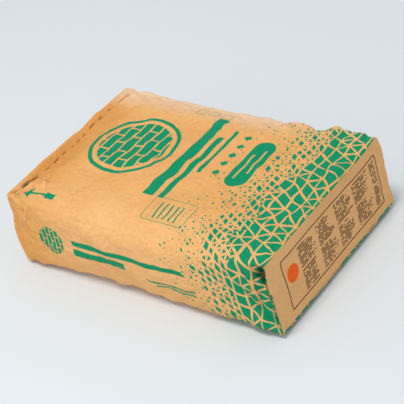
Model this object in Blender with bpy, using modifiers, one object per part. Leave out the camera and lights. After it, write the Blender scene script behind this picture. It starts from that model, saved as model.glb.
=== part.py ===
"""A 25 kg cement sack lying on its back: a pasted paper valve sack, full.

Metres, +Z up. The sack's length runs along Y, with the plain end at -Y and the
valve end at +Y. The origin is on the floor under the middle of the sack.
"""

import math

import bmesh
import bpy

# Driving dimensions
SACK_LENGTH = 0.454        # between the two folded ends, at the plain end's lower fold
END_WIDTH = 0.312          # a folded end's rectangle, along X
END_HEIGHT = 0.1115        # the same rectangle, along Z
END_LIFT = 0.009           # the rectangle's lower fold stands this far off the floor
PLAIN_END_LEAN = 0.0125    # the plain end's upper fold lies this far behind its lower fold
BODY_HEIGHT = 0.129        # floor to the crown of the lying sack
SIDE_BULGE = 0.018         # the walls swell this far at mid-height,
FLOOR_BULGE = 0.009        # this far along the floor
TOP_BULGE = 0.003          # and this far along the top
FULL_REACH = 0.120         # the sack is at its fullest this far from each end
PAPER = 0.0005             # two plies and their paste
POWDER_DEPTH = 0.0012      # from the paper's outer face to the powder
GAP = 0.0003               # between pieces that touch

# Where the folds of the ends draw the body in
TUCK = 0.014               # the walls draw in this far behind each end's rectangle
TUCK_DEPTH = 0.0015
LEDGE = 0.012              # the valve end keeps a ledge this wide along its upper fold
VALLEY = 0.022             # and the top sinks behind it
VALLEY_DEPTH = 0.008

# The sheets pasted over the folded ends
PATCH_WIDTH = 0.310
PATCH_HEIGHT = 0.1095
PATCH_PAPER = 0.0005

# The valve: a flattened paper sleeve behind the valve end's face, open at its left edge
SLEEVE_WIDTH = 0.090
SLEEVE_LENGTH = 0.120
SLEEVE_THICKNESS = 0.0024
SLEEVE_PAPER = 0.0004
SLEEVE_SIDES = 16
SLOT_CLEARANCE = 0.0003

KRAFT = (0.78, 0.50, 0.23, 1.0)
KRAFT_PATCH = (0.66, 0.42, 0.19, 1.0)
KRAFT_INNER = (0.60, 0.40, 0.20, 1.0)
CEMENT = (0.36, 0.36, 0.34, 1.0)

# The coarse cage that is smoothed to the sack's form
COLUMN = 0.80              # the cage's outer columns, as a share of its half width
EDGE_DROP = 0.7            # how much of the crown is lost at the long edges
SMOOTH_LEVELS = 2

HALF_LENGTH = SACK_LENGTH / 2
END_TOP = END_LIFT + END_HEIGHT
END_MIDDLE = END_LIFT + END_HEIGHT / 2


def clear_scene():
    for obj in list(bpy.data.objects):
        bpy.data.objects.remove(obj)


def new_collection(name):
    collection = bpy.data.collections.new(name)
    bpy.context.scene.collection.children.link(collection)
    return collection


def move_to(obj, collection):
    for old in list(obj.users_collection):
        old.objects.unlink(obj)
    collection.objects.link(obj)


def paint(obj, name, color, roughness):
    material = bpy.data.materials.new(name)
    material.use_nodes = True
    shader = material.node_tree.nodes["Principled BSDF"]
    shader.inputs["Base Color"].default_value = color
    shader.inputs["Roughness"].default_value = roughness
    shader.inputs["Metallic"].default_value = 0.0
    obj.data.materials.append(material)


def add_box(name, size, center, collection):
    bpy.ops.mesh.primitive_cube_add(size=1.0, location=center)
    box = bpy.context.object
    box.name = name
    box.scale = size
    bpy.ops.object.transform_apply(location=False, scale=True)
    move_to(box, collection)
    return box


def stations():
    """Where the cage is cut, measured from the plain end's face."""
    from_plain_end = [0.0, TUCK, 0.055, FULL_REACH, HALF_LENGTH]
    from_valve_end = [FULL_REACH, 0.060, VALLEY, LEDGE, 0.0]
    return from_plain_end + [SACK_LENGTH - step for step in from_valve_end]


def cage_point(across, up, station, inset):
    """A cage point, from its shares of the half width (-1 to 1) and height (0 to 1).

    inset is how far the whole form lies inside the sack's outer face.
    """
    from_valve = SACK_LENGTH - station
    from_end = min(station, from_valve)
    at_end = from_end < 1e-6
    fullness = math.sin(min(from_end / FULL_REACH, 1.0) * math.pi / 2)
    bulge = {0.0: FLOOR_BULGE, 0.5: SIDE_BULGE, 1.0: TOP_BULGE}[up]
    half_width = END_WIDTH / 2 + bulge * fullness
    floor = END_LIFT if at_end else 0.0
    crown = (BODY_HEIGHT - END_TOP) * fullness
    top = END_TOP + crown * (1.0 - EDGE_DROP * abs(across) ** 3)
    if not at_end and from_end <= VALLEY:
        half_width -= TUCK_DEPTH
    if station == TUCK:
        top -= TUCK_DEPTH
    if abs(from_valve - VALLEY) < 1e-6:
        top -= VALLEY_DEPTH
    y = (station - HALF_LENGTH) * (1.0 - inset / HALF_LENGTH)
    y += PLAIN_END_LEAN * up * max(1.0 - station / FULL_REACH, 0.0)
    half_width -= inset
    floor += inset
    top -= inset
    return across * half_width, y, floor + (top - floor) * up


def crease_folds(box, corner_sharpness):
    """Keep the edges of both end rectangles sharp under the smoothing."""
    edge_crease = box.edges.layers.float.new("crease_edge")
    corner_crease = box.verts.layers.float.new("crease_vert")
    box.normal_update()
    for edge in box.edges:
        on_end = [abs(face.normal.y) > 0.5 for face in edge.link_faces]
        edge[edge_crease] = 1.0 if on_end.count(True) == 1 else 0.0
    for vert in box.verts:
        is_corner = len(vert.link_edges) == 3
        vert[corner_crease] = corner_sharpness if is_corner else 0.0


def add_sack_form(name, inset, corner_sharpness, collection):
    """The lying sack's form: a cage with sharp folds at its ends, smoothed."""
    cage = bmesh.new()
    bmesh.ops.create_cube(cage, size=1.0)
    cuts = [((0, station / SACK_LENGTH - 0.5, 0), (0, 1, 0)) for station in stations()[1:-1]]
    cuts += [((across / 2, 0, 0), (1, 0, 0)) for across in (-COLUMN, 0.0, COLUMN)]
    cuts.append(((0, 0, 0), (0, 0, 1)))
    for point, normal in cuts:
        everything = cage.verts[:] + cage.edges[:] + cage.faces[:]
        bmesh.ops.bisect_plane(cage, geom=everything, plane_co=point, plane_no=normal)
    crease_folds(cage, corner_sharpness)
    for vert in cage.verts:
        along = (vert.co.y + 0.5) * SACK_LENGTH
        station = min(stations(), key=lambda cut: abs(cut - along))
        across, up = round(vert.co.x * 2, 4), round(vert.co.z + 0.5, 4)
        vert.co = cage_point(across, up, station, inset)
    mesh = bpy.data.meshes.new(name)
    cage.to_mesh(mesh)
    cage.free()
    obj = bpy.data.objects.new(name, mesh)
    collection.objects.link(obj)
    soft = obj.modifiers.new("soft_form", "SUBSURF")
    soft.levels = soft.render_levels = SMOOTH_LEVELS
    return obj


def sleeve_middle_y():
    """The sleeve's middle plane, close behind the paper of the valve end's face."""
    return HALF_LENGTH - PAPER - 2 * GAP - SLOT_CLEARANCE - SLEEVE_THICKNESS / 2


def add_slot_cutter(cutters):
    """The room that the sleeve takes, out through the left wall."""
    outside = 0.020
    length = outside + SLEEVE_LENGTH + 2 * SLOT_CLEARANCE
    size = (length, SLEEVE_THICKNESS + 2 * SLOT_CLEARANCE, SLEEVE_WIDTH + 2 * SLOT_CLEARANCE)
    center = (-END_WIDTH / 2 - outside + length / 2, sleeve_middle_y(), END_MIDDLE)
    cutter = add_box("valve_slot", size, center, cutters)
    cutter.hide_render = True
    cutter.display_type = "WIRE"
    return cutter


def cut_with(obj, cutter):
    cut = obj.modifiers.new("valve_slot", "BOOLEAN")
    cut.operation = "DIFFERENCE"
    cut.object = cutter


def add_paper_sack(parts, slot):
    sack = add_sack_form("paper_sack", 0.0, 1.0, parts)
    paint(sack, "kraft_paper", KRAFT, 0.75)
    paper = sack.modifiers.new("paper", "SOLIDIFY")
    paper.thickness = PAPER
    paper.offset = -1.0
    paper.use_even_offset = True
    cut_with(sack, slot)


def add_cement_fill(parts, slot):
    """The powder, which doesn't reach into the sack's corners."""
    fill = add_sack_form("cement_fill", POWDER_DEPTH, 0.0, parts)
    paint(fill, "cement_powder", CEMENT, 0.95)
    cut_with(fill, slot)


def add_cover_patch(name, end, lean, parts):
    """The flat sheet over one end. end is -1 for the plain end and 1 for the valve end."""
    tilt = math.atan2(lean, END_HEIGHT)
    outward = GAP + PATCH_PAPER / 2
    center = (0.0,
              end * (HALF_LENGTH - lean / 2 + outward * math.cos(tilt)),
              END_MIDDLE + outward * math.sin(tilt))
    patch = add_box(name, (PATCH_WIDTH, PATCH_PAPER, PATCH_HEIGHT), center, parts)
    patch.rotation_euler.x = end * tilt
    paint(patch, name + "_paper", KRAFT_PATCH, 0.8)


def add_valve_sleeve(parts):
    """A paper tube pressed nearly flat: a round tube whose halves are moved apart."""
    bpy.ops.mesh.primitive_cylinder_add(vertices=SLEEVE_SIDES, radius=SLEEVE_THICKNESS / 2,
                                        depth=SLEEVE_LENGTH, end_fill_type="NOTHING")
    sleeve = bpy.context.object
    sleeve.name = "valve_sleeve"
    spread = (SLEEVE_WIDTH - SLEEVE_THICKNESS) / 2
    half_side = math.pi / SLEEVE_SIDES
    for vert in sleeve.data.vertices:
        angle = math.atan2(vert.co.y, vert.co.x) + half_side
        vert.co.x = SLEEVE_THICKNESS / 2 * math.cos(angle)
        vert.co.y = SLEEVE_THICKNESS / 2 * math.sin(angle)
        vert.co.y += math.copysign(spread, vert.co.y)
    sleeve.rotation_euler = (math.pi / 2, 0.0, math.pi / 2)
    sleeve.location = (-END_WIDTH / 2 + SLEEVE_LENGTH / 2, sleeve_middle_y(), END_MIDDLE)
    paint(sleeve, "sleeve_paper", KRAFT_INNER, 0.8)
    paper = sleeve.modifiers.new("paper", "SOLIDIFY")
    paper.thickness = SLEEVE_PAPER
    paper.offset = -1.0
    move_to(sleeve, parts)


def main():
    clear_scene()
    parts = new_collection("cement_sack")
    cutters = new_collection("cutters")
    slot = add_slot_cutter(cutters)
    add_paper_sack(parts, slot)
    add_cement_fill(parts, slot)
    add_cover_patch("bottom_cover_patch", -1, PLAIN_END_LEAN, parts)
    add_cover_patch("valve_cover_patch", 1, 0.0, parts)
    add_valve_sleeve(parts)


main()
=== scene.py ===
# %% [markdown]
# # A full cement sack, dressed over its solids
# The part is a 25 kg sack of cement that lies on its back: a two-ply kraft paper tube, folded
# flat at both ends, with a sheet pasted over each end and a filling valve at one corner. The
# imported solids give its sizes. This lesson lays the real, uneven paper over them.

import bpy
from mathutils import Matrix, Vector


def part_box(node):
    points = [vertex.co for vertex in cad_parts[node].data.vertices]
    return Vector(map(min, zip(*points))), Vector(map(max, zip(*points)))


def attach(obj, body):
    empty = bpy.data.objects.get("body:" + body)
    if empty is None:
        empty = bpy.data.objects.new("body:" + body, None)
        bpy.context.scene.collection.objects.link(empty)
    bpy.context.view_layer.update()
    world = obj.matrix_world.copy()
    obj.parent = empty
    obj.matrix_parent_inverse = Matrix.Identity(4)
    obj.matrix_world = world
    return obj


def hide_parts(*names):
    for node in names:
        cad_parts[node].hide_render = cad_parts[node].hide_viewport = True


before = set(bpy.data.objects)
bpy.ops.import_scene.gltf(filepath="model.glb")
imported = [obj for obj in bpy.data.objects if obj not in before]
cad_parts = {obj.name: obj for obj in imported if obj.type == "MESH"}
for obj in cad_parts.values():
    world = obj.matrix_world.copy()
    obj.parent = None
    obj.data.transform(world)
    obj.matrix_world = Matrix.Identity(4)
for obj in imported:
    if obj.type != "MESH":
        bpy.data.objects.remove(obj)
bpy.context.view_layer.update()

# %% [markdown]
# ## The camera
# The camera looks down at the plain end and the long left side, and is turned a little. Its
# angles were found by fitting the eight corners of the folded ends, so it is built from its
# three axes and not aimed by eye.

# %% Place the camera
import math

import bpy
import numpy as np
from mathutils import Matrix, Vector, noise

AZIMUTH, ELEVATION, ROLL = (math.radians(angle) for angle in (-49.51, 34.93, -11.94))
CAMERA_AIM = Vector((-0.0075, -0.0089, 0.0675))
CAMERA_DISTANCE = 2.076
FOCAL_PIXELS, FRAME_PIXELS, SENSOR_MM = 1434.68, 404, 36

back = Vector((math.sin(AZIMUTH) * math.cos(ELEVATION),
               -math.cos(AZIMUTH) * math.cos(ELEVATION),
               math.sin(ELEVATION)))
level_right = back.cross(Vector((0, 0, -1))).normalized()
level_up = back.cross(level_right)
right = level_right * math.cos(ROLL) + level_up * math.sin(ROLL)
up = level_up * math.cos(ROLL) - level_right * math.sin(ROLL)

bpy.ops.object.camera_add()
camera = bpy.context.object
camera.data.sensor_width = SENSOR_MM
camera.data.lens = FOCAL_PIXELS / FRAME_PIXELS * SENSOR_MM
place = Matrix((right, up, back)).transposed().to_4x4()
place.translation = CAMERA_AIM + back * CAMERA_DISTANCE
camera.matrix_world = place
bpy.context.scene.camera = camera
print("camera at", [round(value, 3) for value in place.translation], "lens", round(camera.data.lens, 1))

# %% [markdown]
# ## Materials are made of nodes
# A picture file gives its colours as sRGB values, but a shader counts light, so each colour
# goes through one function first. One small function adds a node, sets it and links it, and
# new_material hands it back as add, with the material's node tree already filled in. All the
# materials below are built with these.

# %% Colour and node helpers
from functools import partial


def linear(hex_color):
    """An sRGB hex value as the linear colour that a shader wants."""
    values = [int(hex_color[i:i + 2], 16) / 255 for i in (1, 3, 5)]
    return [v / 12.92 if v <= 0.04045 else ((v + 0.055) / 1.055) ** 2.4 for v in values] + [1.0]


def add_node(tree, kind, *inputs, out=0, **settings):
    """Add a node and give its output out. A point in kind comes before the node's operation.

    inputs are sockets or values, in the order of the node's inputs; None skips one.
    """
    kind, _, operation = kind.partition(".")
    made = tree.nodes.new("ShaderNode" + kind)
    if operation:
        made.operation = operation
    for name, value in settings.items():
        setattr(made, name, value)
    for socket, value in zip(made.inputs, inputs):
        if isinstance(value, bpy.types.NodeSocket):
            tree.links.new(value, socket)
        elif value is not None:
            socket.default_value = value
    return made.outputs[out]


def new_material(name, **values):
    """A material, what adds nodes to it, and its Principled shader with the values in its sockets."""
    material = bpy.data.materials.new(name)
    material.use_nodes = True
    shader = material.node_tree.nodes["Principled BSDF"]
    for socket, value in values.items():
        shader.inputs[socket.replace("_", " ")].default_value = value
    return material, partial(add_node, material.node_tree), shader


print("kraft as linear colour:", [round(value, 3) for value in linear("#f0b878")])

# %% [markdown]
# ## Floor and light
# The photo is a studio cut-out on a pale grey-blue ground. A large matt plane stands in for
# it. One big soft lamp hangs high over the long left side and lights the top most. A weak
# one stands low on the same side, and the pale world fills the rest, so the two folded ends
# stay a little darker than the top.

# %% Floor, lamp and world
FLOOR_SIZE, WORLD_STRENGTH = 14.0, 0.66
LAMP_AIM = Vector((0, 0, 0.06))
LAMPS = (  # place, power in watts and width in metres
    ((-1.15, 0.15, 4.05), 82.0, 1.2), ((-1.7, -0.1, 0.7), 4.5, 1.0))


def deselect_all():
    bpy.ops.object.select_all(action="DESELECT")


deselect_all()
bpy.ops.mesh.primitive_plane_add(size=FLOOR_SIZE, location=(0, 0, 0))
floor = bpy.context.object
floor.name = "studio_floor"
studio, _, _ = new_material("matt_studio_paper", Roughness=0.9, Base_Color=linear("#dee3e6"))
floor.data.materials.append(studio)

for spot, power, width in LAMPS:
    bpy.ops.object.light_add(type="AREA", location=spot)
    lamp = bpy.context.object
    lamp.data.energy, lamp.data.size = power, width
    lamp.rotation_euler = (LAMP_AIM - lamp.location).to_track_quat("-Z", "Y").to_euler()
    print("lamp of", power, "W,", width, "m across")

world = bpy.data.worlds.new("pale_studio")
world.use_nodes = True
world.node_tree.nodes["Background"].inputs["Color"].default_value = linear("#eef2f5")
world.node_tree.nodes["Background"].inputs["Strength"].default_value = WORLD_STRENGTH
bpy.context.scene.world = world
bpy.context.scene.view_settings.view_transform = "Standard"

# %% [markdown]
# ## The empty sack as a block
# A pasted sack is a tube of paper whose ends are opened and folded to two flat rectangles.
# Before it is filled out it is nearly a box, so it starts as a cube at its real size. The
# rectangles' sizes come from the sheets that are pasted over them. Straight cuts with bisect
# turn the six sides into small cells that cloth can bend. They are closer at both ends, where
# the folds are.

# %% Cut the block into cells
COVER_MARGIN = 0.001  # a cover sheet ends this far inside the folds
COVERS_OFF = 0.0006  # what both sheets together stand off the folded ends
PLAIN_END_LEAN = 0.0125  # the plain end leans back by this at its top
SAME, CLOSE = 1e-5, 1e-4  # two places nearer than this are one
valve_low, valve_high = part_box("valve_cover_patch")
WIDTH = valve_high.x - valve_low.x + 2 * COVER_MARGIN
HEIGHT = valve_high.z - valve_low.z + 2 * COVER_MARGIN
LIFT = valve_low.z - COVER_MARGIN
LENGTH = 2 * valve_low.y - COVERS_OFF
CELL, END_CELL, END_ZONE = ((0.0064, 0.003, 0.030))


def evenly(low, high, cell):
    """Places from low to high, about cell apart."""
    count = max(round((high - low) / cell), 1)
    return [low + (high - low) * i / count for i in range(count + 1)]


def select_only(obj):
    deselect_all()
    obj.select_set(True)
    bpy.context.view_layer.objects.active = obj


deselect_all()
bpy.ops.mesh.primitive_cube_add(size=1.0, location=(0, 0, LIFT + HEIGHT / 2),
                                scale=(WIDTH, LENGTH, HEIGHT))
sack = bpy.context.object
sack.name = "kraft_sack"
bpy.ops.object.transform_apply(location=True, rotation=True, scale=True)
places = {0: evenly(-WIDTH / 2, WIDTH / 2, CELL)[1:-1],
          1: evenly(-LENGTH / 2, -LENGTH / 2 + END_ZONE, END_CELL)[1:]
          + evenly(-LENGTH / 2 + END_ZONE, LENGTH / 2 - END_ZONE, CELL)[1:-1]
          + evenly(LENGTH / 2 - END_ZONE, LENGTH / 2, END_CELL)[:-1],
          2: evenly(LIFT, LIFT + HEIGHT, CELL)[1:-1]}
bpy.ops.object.mode_set(mode="EDIT")
for axis, cuts in places.items():
    for cut in cuts:
        point, normal = [0, 0, 0], [0, 0, 0]
        point[axis], normal[axis] = cut, 1
        bpy.ops.mesh.select_all(action="SELECT")
        bpy.ops.mesh.bisect(plane_co=point, plane_no=normal)
bpy.ops.object.mode_set(mode="OBJECT")
print("block of", [round(size, 4) for size in (WIDTH, LENGTH, HEIGHT)], "m,",
      len(sack.data.polygons), "cells")

# %% [markdown]
# ## A map of the flat sheet
# Print, fibres and creases belong to the paper, so they need coordinates that stay on it when
# it bulges. While the block is still square, each corner of each cell gets its place on the
# unfolded sheet, in metres: u runs round the tube from the middle of the top, and v along it.
# Each point also keeps its place on the block, for the sculpting later.

# %% Unfold the block
U_MIDDLE, V_MIDDLE = 0.45, 0.35  # moves the sheet's middle so that the whole map is above 0
TOP = LIFT + HEIGHT


def coordinates(mesh):
    """The mesh's points, one row each."""
    points = np.empty(len(mesh.vertices) * 3)
    mesh.vertices.foreach_get("co", points)
    return points.reshape(-1, 3)


mesh = sack.data
block = coordinates(mesh)
mesh.attributes.new("block", "FLOAT_VECTOR", "POINT").data.foreach_set("vector", block.ravel())
sheet = mesh.uv_layers.new(name="sheet")
for face in mesh.polygons:
    middle, normal = face.center, face.normal
    for loop in face.loop_indices:
        x, y, z = block[mesh.loops[loop].vertex_index]
        if abs(normal.y) > 0.5:
            u, v = x, math.copysign(LENGTH / 2 + TOP - z, y)
        elif abs(normal.z) > 0.5:
            side = 1 if middle.x > 0 else -1
            u, v = (x if normal.z > 0 else side * (WIDTH + HEIGHT) - x), y
        else:
            u, v = math.copysign(WIDTH / 2 + TOP - z, x), y
        sheet.data[loop].uv = (u + U_MIDDLE, v + V_MIDDLE)
print("sheet map: half way round is", round(WIDTH + HEIGHT, 4), "m")

# %% [markdown]
# ## Fold lines and a start shape
# The paper keeps a sharp fold round each end's rectangle, so those edges get a full crease,
# which the smoothing respects. The plain end leans back at its top. Cement never fills a sack
# evenly, so the start shape is also a little uneven, with a seeded noise that is the same on
# each run.

# %% Crease the folds and start uneven
UNEVEN, UNEVEN_PER_METRE = 0.004, 9.0
NOISE_PLACE = Vector((3.1, 7.7, 1.3))  # where the noise is read: another place gives another sack

select_only(sack)
bpy.ops.object.mode_set(mode="EDIT")
bpy.ops.mesh.select_mode(type="FACE")
bpy.ops.mesh.select_all(action="DESELECT")
bpy.ops.object.mode_set(mode="OBJECT")
for face in mesh.polygons:
    face.select = abs(face.normal.y) > 0.5
bpy.ops.object.mode_set(mode="EDIT")
bpy.ops.mesh.region_to_loop()
bpy.ops.transform.edge_crease(value=1.0)
bpy.ops.object.mode_set(mode="OBJECT")

share_up = (block[:, 2] - LIFT) / HEIGHT
share_along = block[:, 1] / LENGTH + 0.5
at_end = (share_along < CLOSE) | (share_along > 1 - CLOSE)
start = block.copy()
start[:, 1] += PLAIN_END_LEAN * share_up * (1 - share_along)
for i in np.flatnonzero(~at_end):
    shift = noise.noise(Vector(start[i]) * UNEVEN_PER_METRE + NOISE_PLACE) * UNEVEN
    if abs(block[i, 0]) > WIDTH / 2 - SAME:
        start[i, 0] += math.copysign(shift, block[i, 0])
    if share_up[i] < CLOSE or share_up[i] > 1 - CLOSE:
        start[i, 2] += math.copysign(shift, share_up[i] - 0.5)
mesh.vertices.foreach_set("co", start.ravel())
mesh.update()
print("fold points held:", int(at_end.sum()), "of", len(block))

# %% [markdown]
# ## Fill the sack
# The sack is soft, so a cloth simulation shapes it. The folded ends are stiff, many layers
# thick, and are held. The powder acts like a heavy liquid: it presses outwards, and harder
# near the floor, which Blender's cloth pressure does with a target volume and a fluid
# density. The paper hardly stretches, so it crumples where it has too much length.

# %% Simulate the filling
FILLED_LITRES = 18.3
FRAMES = 30
REST_DEPTH = 0.0018  # the cloth stays this far off what it lies on

sack.vertex_groups.new(name="folded_ends").add([int(i) for i in np.flatnonzero(at_end)], 1.0, "REPLACE")
deselect_all()
bpy.ops.mesh.primitive_plane_add(size=2.0, location=(0, 0, -REST_DEPTH))
ground = bpy.context.object
ground.modifiers.new("ground", "COLLISION")
ground.collision.thickness_outer = 0.001
ground.collision.cloth_friction = 20

paper = sack.modifiers.new("paper", "CLOTH")
cloth = paper.settings
cloth.quality, cloth.mass, cloth.air_damping = 8, 0.01, 2.0
cloth.tension_stiffness = cloth.compression_stiffness = 60
cloth.shear_stiffness, cloth.bending_stiffness, cloth.bending_model = 40, 0.3, "ANGULAR"
cloth.tension_damping = cloth.compression_damping = cloth.shear_damping = 5
cloth.bending_damping = 0.5
cloth.vertex_group_mass, cloth.pin_stiffness = "folded_ends", 50
cloth.use_pressure = cloth.use_pressure_volume = True
cloth.target_volume, cloth.pressure_factor = FILLED_LITRES / 1000, 100
cloth.uniform_pressure_force, cloth.fluid_density = 0.0, 1.4
paper.collision_settings.distance_min = 0.001
paper.collision_settings.collision_quality = 2
paper.point_cache.frame_start, paper.point_cache.frame_end = 1, FRAMES
for number in range(1, FRAMES + 1):
    bpy.context.scene.frame_set(number)
select_only(sack)
bpy.ops.object.modifier_apply(modifier=paper.name)
bpy.data.objects.remove(ground)
bpy.context.scene.frame_set(1)
filled = coordinates(sack.data)
print("filled: lowest", filled.min(0).round(4), "highest", filled.max(0).round(4))

# %% [markdown]
# ## One smoothing
# One level of Subdivision Surface rounds the cells and halves them, which gives the sculpting
# enough points. The sheet map isn't smoothed, so it stays true to the paper.

# %% Smooth and read back
smooth = sack.modifiers.new("smooth", "SUBSURF")
smooth.levels = smooth.render_levels = 1
smooth.uv_smooth = "NONE"
bpy.ops.object.modifier_apply(modifier=smooth.name)
print("smoothed:", len(sack.data.vertices), "points")

# %% [markdown]
# ## Finer cells where the folds are
# A mesh can't show a line that is finer than its cells, and folds in paper are sharp. So the
# cells beside the folds are halved, in whole rows and columns, which keeps every face
# four-sided. The places on the block tell which edges run along a row.

# %% Halve the cells at the folds
RIM_STRIP, END_STRIP, EDGE_STRIP = 0.018, 0.046, 0.027  # how far from a fold they reach
FINE_STRIPS = (  # the axis that is halved, from and to on the block
    (1, LENGTH / 2 - RIM_STRIP, LENGTH / 2), (1, LENGTH / 2 - END_STRIP, LENGTH / 2 - END_ZONE),
    (1, -LENGTH / 2 + END_ZONE, -LENGTH / 2 + END_STRIP), (0, -WIDTH / 2, -WIDTH / 2 + EDGE_STRIP),
    (0, WIDTH / 2 - EDGE_STRIP, WIDTH / 2), (2, TOP - EDGE_STRIP, TOP))


def block_places(mesh):
    """Where each point was on the block."""
    places = np.empty(len(mesh.vertices) * 3)
    mesh.attributes["block"].data.foreach_get("vector", places)
    return places.reshape(-1, 3)


mesh = sack.data
select_only(sack)
bpy.context.tool_settings.mesh_select_mode = (False, True, False)
for axis, low, high in FINE_STRIPS:
    pairs = np.empty(len(mesh.edges) * 2, dtype=np.int32)
    mesh.edges.foreach_get("vertices", pairs)
    ends = block_places(mesh)[pairs].reshape(-1, 2, 3)
    size = np.abs(ends[:, 0] - ends[:, 1])
    along = (size[:, axis] > CLOSE) & (np.delete(size, axis, 1).max(1) < CLOSE)
    inside = (ends[:, :, axis].min(1) > low - SAME) & (ends[:, :, axis].max(1) < high + SAME)
    mesh.vertices.foreach_set("select", np.zeros(len(mesh.vertices), dtype=bool))
    mesh.polygons.foreach_set("select", np.zeros(len(mesh.polygons), dtype=bool))
    mesh.edges.foreach_set("select", along & inside)
    bpy.ops.object.mode_set(mode="EDIT")
    bpy.ops.mesh.subdivide(number_cuts=1)
    bpy.ops.object.mode_set(mode="OBJECT")
points, block = coordinates(mesh), block_places(mesh)
print("sack:", len(points), "points,", len(mesh.polygons) * 2, "triangles, most corners in a face:",
      max(len(face.vertices) for face in mesh.polygons))

# %% [markdown]
# ## Tools for sculpting in code
# The folds that the simulation can't make are moved in by code. A sculpting step asks
# where a point is on the sheet and how far it is from each end, and then pushes it along the
# surface's normal. A bump with a soft edge and a crease with a sharp ridge are all it takes.

# %% Sculpting tools
def round_the_tube(x, z):
    """The distance round the tube from the middle of the top, + towards +X."""
    down = TOP - z
    on_top, on_floor = down < SAME, down > HEIGHT - SAME
    far = np.where(on_top, np.abs(x), WIDTH / 2 + down)
    far = np.where(on_floor & ~on_top, WIDTH + HEIGHT - np.abs(x), far)
    return far * np.where(x < 0, -1.0, 1.0)


round_tube = round_the_tube(block[:, 0], block[:, 2])
from_valve = LENGTH / 2 - block[:, 1]
from_plain = LENGTH / 2 + block[:, 1]
on_valve_end, on_plain_end = from_valve < CLOSE, from_plain < CLOSE
on_tube = ~(on_valve_end | on_plain_end)


def ramp(value, start, end):
    """0 at start, 1 at end, and soft at both."""
    share = np.clip((value - start) / (end - start), 0, 1)
    return share * share * (3 - 2 * share)


def hill(value, middle, reach):
    """1 at the middle and 0 at reach from it, with a round top."""
    return np.clip(1 - ((value - middle) / reach) ** 2, 0, 1) ** 2


def ridge(value, middle, reach):
    """1 at the middle and 0 at reach from it, with a sharp top."""
    return np.clip(1 - np.abs(value - middle) / reach, 0, 1) ** 1.3


def wobble(along, seed, per_metre):
    """A seeded, smooth random value from -1 to 1 for each number in along."""
    steps = np.linspace(along.min(), along.max(), 400)
    values = [noise.noise(Vector((step * per_metre, seed, 0.5))) for step in steps]
    return np.interp(along, steps, values)


def push(amount):
    """Move the points along the surface's normals, in metres, + outwards."""
    mesh.vertices.foreach_set("co", points.ravel())
    mesh.update()
    normals = np.empty(len(points) * 3)
    mesh.vertex_normals.foreach_get("vector", normals)
    points[:] = points + normals.reshape(-1, 3) * amount[:, None]


print("on the tube:", int(on_tube.sum()), "on the ends:", int((~on_tube).sum()))

# %% [markdown]
# ## How the ends' folds wander
# The folds round an end's rectangle aren't straight on a real sack. A table for each gives how
# far it is moved at some heights on the end, and interp draws straight lines from one height
# to the next.

# %% Tables of the folds
MM = 0.001
# pairs of share up and millimetres
PLAIN_LEFT_OUT = (
    (0, 1.5), (0.3, 1.8), (0.57, 3.6), (0.6, 4.2), (0.65, 5.6), (0.8, 3.4), (1, 0.0))
PLAIN_RIGHT_OUT = (
    (0, 4.2), (0.14, 3.2), (0.27, 0.0), (0.44, 1.2), (0.56, 0.2), (0.7, 3.0), (0.8, 3.2), (1, -3.5))
VALVE_LEFT_BACK = (
    (0, -7.5), (0.13, -2.5), (0.3, 1.4), (0.49, 1.2), (0.69, -4.0), (0.85, -2.0), (1, -2.8))
VALVE_RIGHT_OUT = ((0, 0.0), (0.5, 1.0), (0.84, 0.5), (0.93, -3.5), (0.97, -1.0), (1, 0.0))
VALVE_LEFT_DROP = ((0, -5.5), (0.4, -1.0), (1, 0.0))


def wander(share_up, table):
    """How far a fold is moved at a share of the end's height, in metres."""
    shares, amounts = zip(*table)
    return np.interp(share_up, shares, amounts) * MM


print("the plain end's left fold moves up to", max(amount for _, amount in PLAIN_LEFT_OUT), "mm")

# %% [markdown]
# ## The shapes of the two folded ends
# The sheet pasted over an end follows every bend of the end itself. So each bend is a small
# function of the place on the end's rectangle, x across and share up, and both the sack and
# its cover sheet use it. The flaps under the cover sheets show through as faint steps.

# %% End shapes
HALF = WIDTH / 2
LEAN = math.atan2(PLAIN_END_LEAN, HEIGHT)
OUTWARD = {"plain": np.array((0, -math.cos(LEAN), math.sin(LEAN))), "valve": np.array((0, 1.0, 0))}
FADE_ACROSS = 0.070  # a side fold's wander fades out this far from it
FOLD_DROP, FOLD_WAVE = 0.0030, 0.0009  # the plain end's lower fold sinks, its upper one is wavy
CORNER_UP, CORNER_REACH = 0.0042, 0.040  # its upper right corner stands up
RIM_RISE, RIM_WAVE = 0.0046, 0.25  # the valve end's upper fold stands up, unevenly
RIGHT_FADE = 0.030  # its right fold wanders only this near to the side
RIM_HILLS = ((-0.55, 0.026, 0.022), (0.4, 0.064, 0.015))  # share of the rise, place and reach
EAR_BACK, EAR_DROP, EAR_WIDTH = 0.0070, 0.0052, 0.013  # the rim's right corner is bent over
FLAP_STEP, FLAP_WAVE, FLAP_SEEDS = 0.0006, 0.0008, {"plain": 7.0, "valve": 9.0}
WAVES_ACROSS, WAVES_UP = 16, 1.9  # in a metre, and in the end's height
SLANT_SOFT, OVERLAP_EDGE = 0.0012, (0.0185, 0.0165)  # where the flaps' edges lie
KINK_RISE, KINK_REACH, CREASE_DEPTH, CREASE_REACH = 0.0016, 0.11, 0.0011, 0.007


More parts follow.
